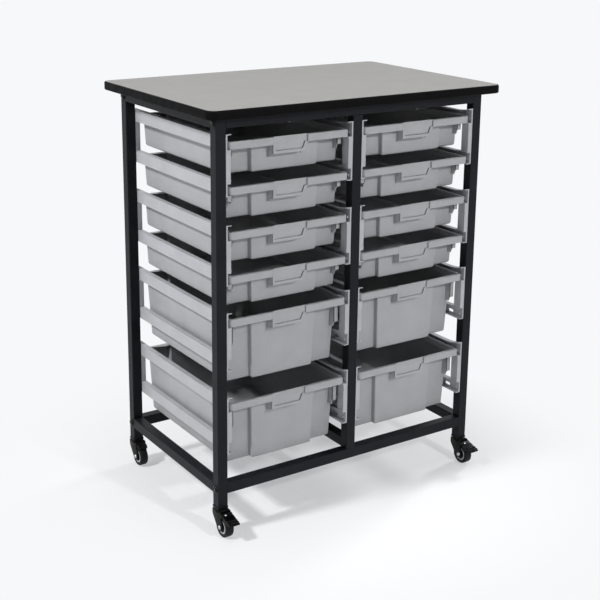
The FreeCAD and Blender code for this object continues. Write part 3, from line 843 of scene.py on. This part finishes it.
def tyre_skin():
    """Tyre: a rounded bead at the hub, flat sides and a tread with quarter-circle shoulders."""
    half = [(wheel_half - inset, hub_radius + rise) for inset, rise in tyre_bead]
    for lean in quarter_turn(6):
        inset = tread_round * (1 - np.cos(lean))
        half.append((wheel_half - inset, wheel_radius - tread_round * (1 - np.sin(lean))))
    return turned(mirrored(half), "x", axle_centre, steps=72, ring=True)


def hub_ring_skin():
    """Pale ring of the hub: a band under the tyre with broken edges."""
    edge = ring_half - ring_chamfer
    half = [(ring_root, ring_inner), (edge, ring_inner), (ring_half, ring_inner + ring_chamfer)]
    half += [(ring_half, hub_radius - ring_slope), (edge, hub_radius)]
    return turned(mirrored(half), "x", axle_centre, steps=64, ring=True)


def hub_web_skin():
    """Dark middle of the hub: a boss on the axle and a thinner web out to the ring."""
    end = cheek_in - boss_gap
    half = [(end, axle_radius + axle_gap), (end, boss_radius - eased_edge)]
    half += [(end - eased_edge, boss_radius), (web_half + web_fillet, boss_radius)]
    half += [(web_half, boss_radius + eased_edge), (web_half, ring_inner)]
    return turned(mirrored(half), "x", axle_centre, steps=48, ring=True)


def slope_height(y):
    """Height of the pedal's top at Y: it falls evenly from its rear edge to its tip."""
    return pivot_z + pedal_rise - pedal_slope * (pivot_y + pedal_rise - y)


def pedal_skins():
    """Brake pedal: a wedge as wide as the fork, narrow between the ears, with two ridges and its pins."""
    slope_y, slope_z = pivot_y + pedal_rise, pivot_z + pedal_rise
    tip, tip_top = -pedal_reach, pivot_z - pedal_fall
    underside = tip_top - pedal_thickness
    narrow = cheek_in - pedal_gap
    knee = (pivot_y - knee_reach, pivot_z - knee_drop)
    throat = (pivot_y + throat_back, pivot_z - throat_drop)
    belly = (knee[0] - pedal_fall, underside)
    root = pivot_y - ear_room
    tail = [(slope_y, slope_z), (tip, tip_top), (tip, underside), belly, knee, throat]
    tail_radii = [pedal_bend, soft_edge, soft_edge, soft_edge, soft_edge, pedal_bend]
    blade = [(root, slope_height(root)), (tip, tip_top), (tip, underside), belly, knee, (root, knee[1])]
    blade_radii = [blade_heel, blade_tip, blade_tip, soft_edge, blade_root, blade_root]
    skins = [slab(corner_arcs(tail, tail_radii), -narrow, narrow, pedal_edge, "x")]
    skins.append(slab(corner_arcs(blade, blade_radii), -cheek_out, cheek_out, cheek_edge, "x"))
    ridge_end = cheek_out - eased_edge
    ridge = mirrored([(-ridge_end, ridge_end_radius), (-ridge_end + eased_edge, ridge_radius)])
    for share in ridge_places:
        y = slope_y + share * (tip - slope_y)
        skins.append(turned(ridge, "x", (0, y, slope_height(y)), steps=24))
    pin_end = cheek_out + pin_reach
    pin = mirrored([(-pin_end, pin_radius - pin_chamfer), (-pin_end + pin_chamfer, pin_radius)])
    skins.append(turned(pin, "x", (0, pivot_y, pivot_z), steps=24))
    return skins


def rivet_skin():
    """Rivet on the pedal's top: a domed head leaned by the slope's angle."""
    cap, faces = turned(dome(rivet_radius, rivet_height), "z", (0, 0, 0), steps=24)
    tilt = np.arctan(pedal_slope)
    lean = np.array([[1, 0, 0], [0, np.cos(tilt), -np.sin(tilt)], [0, np.sin(tilt), np.cos(tilt)]])
    y = pivot_y - rivet_ahead
    return cap @ lean.T + np.array([-rivet_aside, y, slope_height(y)]), faces


for corner in corners:
    braked = corner.startswith("front")
    low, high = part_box("wheel_tyre_" + corner)
    stem = ((low.x + high.x) / 2, (low.y + high.y) / 2 + caster_trail, 0)
    caster, wheel, pedal = "caster_" + corner, "wheel_" + corner, "pedal_" + corner
    fork = moved(fork_skins(braked), stem)
    axle = moved(axle_skins(), stem)
    tyre = moved([tyre_skin()], stem)
    ring = moved([hub_ring_skin()], stem)
    web = moved([hub_web_skin()], stem)
    piece("fork_" + corner, fork, caster, "black_plastic", ["caster_fork_" + corner])
    piece("axle_" + corner, axle, caster, "zinc_steel", ["caster_axle_" + corner])
    piece("tyre_" + corner, tyre, wheel, "tyre", ["wheel_tyre_" + corner])
    piece("wheel_ring_" + corner, ring, wheel, "hub_plastic", ["wheel_hub_" + corner])
    piece("wheel_web_" + corner, web, wheel, "black_plastic")
    if braked:
        plate = moved(pedal_skins(), stem)
        rivet = moved([rivet_skin()], stem)
        piece("pedal_plate_" + corner, plate, pedal, "black_plastic", ["brake_pedal_" + corner])
        piece("pedal_rivet_" + corner, rivet, pedal, "zinc_steel", ["brake_rivet_" + corner])


# Frame bolts: domed heads with a six-sided key recess; a bright zinc plate on the recess floor is a painted
# highlight, standing in for the glint on each head

def bolt_rows():
    """Loops of a bolt head with their heights: circles up part of an ellipse, then a sunk hexagon.

    A hexagon's radius is half its width over the cosine of the angle from the middle of the nearest side.
    """
    angle = full_turn(48)
    circle = directions(angle)
    hexagon = circle * (key_width / 2 / np.cos(angle % (np.pi / 3) - np.pi / 6))[:, None]
    rows = [(0.0, bolt_taper * bolt_radius * circle)]
    for lean in np.linspace(0, bolt_sweep, 7):
        rise = bolt_foot + (1 - bolt_foot) * np.sin(lean) / np.sin(bolt_sweep)
        rows.append((bolt_height * rise, bolt_radius * np.cos(lean) * circle))
    rows += [(bolt_height, hexagon * key_mouth), (bolt_height - key_chamfer, hexagon)]
    rows.append((bolt_height - key_depth, hexagon))
    return rows, hexagon


head_rows, hexagon = bolt_rows()
floor_low = bolt_height - key_depth + key_floor_rise
floor_high = floor_low + key_floor_thickness
bolts, key_highlight_plates = [], []
for leg in corners:
    leg_low, leg_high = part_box("upright_" + leg)
    side = -1 if leg.endswith("left") else 1
    face = leg_low.x if side < 0 else leg_high.x
    middle = (leg_low.y + leg_high.y) / 2
    head = shell([stood(loop, side * level, "x") for level, loop in head_rows])
    inner, outer = sorted((side * floor_low, side * floor_high))
    # Plate near the top of the key recess; its bright zinc is a painted highlight for the glint on the bolt
    # head
    plug = slab(hexagon * key_floor, inner, outer, key_floor_edge, "x")
    for rail in ("bottom", "top"):
        rail_low, rail_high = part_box("rail_front_" + rail)
        place = (face, middle, (rail_low.z + rail_high.z) / 2)
        bolts += moved([head], place)
        key_highlight_plates += moved([plug], place)
piece("bolt_heads", bolts, "frame", "black_bolt", ["frame_bolts"])
# Painted highlight: the recess floors in bright zinc stand in for the glint on the bolt heads
piece("bolt_key_highlight_plates", key_highlight_plates, "frame", "zinc_steel")


# Stage: floor, lights, camera

def background_rays(nodes, links):
    """Factor that is 1 for the rays that show the pale background: camera, glossy and transmitted ones."""
    paths = nodes.new("ShaderNodeLightPath")
    seen = paths.outputs["Is Camera Ray"]
    for kind in ("Is Glossy Ray", "Is Transmission Ray"):
        either = nodes.new("ShaderNodeMath")
        either.operation = "MAXIMUM"
        links.new(seen, either.inputs[0])
        links.new(paths.outputs[kind], either.inputs[1])
        seen = either.outputs["Value"]
    return seen


def stage_floor():
    """Pale floor that keeps the unit's shadow; further out it fades to the background's even tone."""
    outline = floor_half * np.array([(-1, -1), (1, -1), (1, 1), (-1, 1)])
    mesh = bpy.data.meshes.new("stage_floor")
    mesh.from_pydata(stood(outline, 0.0, "z").tolist(), [], [(0, 1, 2, 3)])
    floor = bpy.data.objects.new("stage_floor", mesh)
    bpy.context.scene.collection.objects.link(floor)
    material = bpy.data.materials.new("pale floor")
    material.use_nodes = True
    nodes, links = material.node_tree.nodes, material.node_tree.links
    nodes.clear()
    lit = nodes.new("ShaderNodeBsdfDiffuse")
    lit.inputs["Color"].default_value = floor_colour
    glow = nodes.new("ShaderNodeEmission")
    glow.inputs["Color"].default_value = tone(*pale_tone)
    place = nodes.new("ShaderNodeTexCoord")
    reach = nodes.new("ShaderNodeVectorMath")
    reach.operation = "LENGTH"
    links.new(place.outputs["Object"], reach.inputs[0])
    fade = nodes.new("ShaderNodeMapRange")
    fade.interpolation_type = "SMOOTHSTEP"
    set_range(fade, floor_fade_start, floor_fade_end, floor_fade_least, 1.0)
    links.new(reach.outputs["Value"], fade.inputs["Value"])
    share = nodes.new("ShaderNodeMath")
    share.operation = "MULTIPLY"
    links.new(background_rays(nodes, links), share.inputs[0])
    links.new(fade.outputs["Result"], share.inputs[1])
    mix = nodes.new("ShaderNodeMixShader")
    links.new(share.outputs["Value"], mix.inputs[0])
    links.new(lit.outputs["BSDF"], mix.inputs[1])
    links.new(glow.outputs["Emission"], mix.inputs[2])
    out = nodes.new("ShaderNodeOutputMaterial")
    links.new(mix.outputs["Shader"], out.inputs["Surface"])
    mesh.materials.append(material)
    floor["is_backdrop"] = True


def area_light(name, place, target, size, power):
    """Round lamp at a place, turned to face a target."""
    light = bpy.data.lights.new(name, "AREA")
    light.shape = "DISK"
    light.size = size
    light.energy = power
    lamp = bpy.data.objects.new(name, light)
    lamp.location = place
    lamp.rotation_mode = "QUATERNION"
    lamp.rotation_quaternion = (Vector(target) - Vector(place)).to_track_quat("-Z", "Y")
    bpy.context.scene.collection.objects.link(lamp)


def pale_world():
    """Even grey light all round; the rays that show the background see a pale backdrop in its place."""
    world = bpy.data.worlds.new("studio")
    bpy.context.scene.world = world
    world.use_nodes = True
    nodes, links = world.node_tree.nodes, world.node_tree.links
    nodes.clear()
    around = nodes.new("ShaderNodeBackground")
    around.inputs["Color"].default_value = sky_colour
    around.inputs["Strength"].default_value = sky_strength
    backdrop = nodes.new("ShaderNodeBackground")
    backdrop.inputs["Color"].default_value = tone(*pale_tone)
    mix = nodes.new("ShaderNodeMixShader")
    out = nodes.new("ShaderNodeOutputWorld")
    links.new(background_rays(nodes, links), mix.inputs[0])
    links.new(around.outputs["Background"], mix.inputs[1])
    links.new(backdrop.outputs["Background"], mix.inputs[2])
    links.new(mix.outputs["Shader"], out.inputs["Surface"])


def photo_camera():
    """Camera on the photograph's station point: axes from its turn, its fall below level and its roll."""
    turn, fall, roll = np.radians([camera_turn, camera_fall, camera_roll])
    ahead = np.array([np.sin(turn) * np.cos(fall), np.cos(turn) * np.cos(fall), -np.sin(fall)])
    level = np.array([np.cos(turn), -np.sin(turn), 0.0])
    rise = np.cross(level, ahead)
    right = np.cos(roll) * level + np.sin(roll) * rise
    up = np.cos(roll) * rise - np.sin(roll) * level
    lens = bpy.data.cameras.new("photo_camera")
    lens.lens = camera_lens
    lens.sensor_width = camera_sensor
    lens.shift_y = camera_shift
    lens.clip_end = camera_range
    camera = bpy.data.objects.new("photo_camera", lens)
    bpy.context.scene.collection.objects.link(camera)
    matrix = Matrix(np.column_stack([right, up, -ahead]).tolist()).to_4x4()
    matrix.translation = camera_place
    camera.matrix_world = matrix
    bpy.context.scene.camera = camera


stage_floor()
pale_world()
area_light("left_light", place=(-5.2, 0.2, 5.3), target=(0, 0, 0.5), size=0.8, power=370)
area_light("front_light", place=(0.35, -3.2, 2.2), target=(0, 0, 0.6), size=0.25, power=47)
area_light("top_light", place=(0.0, -0.4, 4.5), target=(0, 0, 0.0), size=2.5, power=26)
area_light("right_light", place=(3.2, 0.8, 1.6), target=(0.3, 0, 0.1), size=0.6, power=58)
photo_camera()
bpy.context.scene.view_settings.view_transform = "Standard"

low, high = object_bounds()
